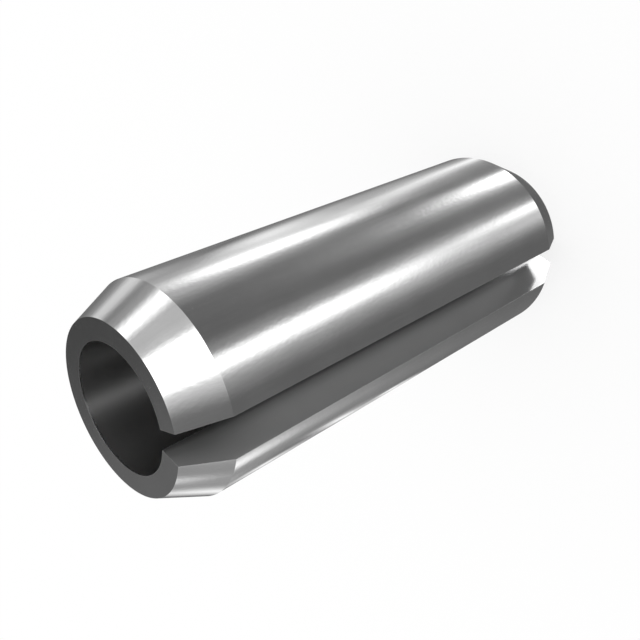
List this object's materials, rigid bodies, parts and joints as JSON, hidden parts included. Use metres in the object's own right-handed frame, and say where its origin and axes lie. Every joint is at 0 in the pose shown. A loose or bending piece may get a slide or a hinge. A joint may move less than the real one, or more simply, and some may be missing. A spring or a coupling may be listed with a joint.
{
  "type": "slotted spring pin",
  "caption": "Short open tube of rolled spring steel with a slot along its length and a cone at each end, pressed into a drilled hole to pin parts together.",
  "frame": {"origin": "centre of the base, on the pin's axis, at the lower end face that it stands on", "axes": "+Z along the pin's axis, up through the bore; the slot faces -Y; +X to the right when facing the slot"},
  "size_m": [0.0104, 0.0103, 0.028],
  "materials": {
    "spring_steel": "gloss"
  },
  "bodies": {
    "root": {"spring_pin": "spring_steel"}
  },
  "joints": []
}
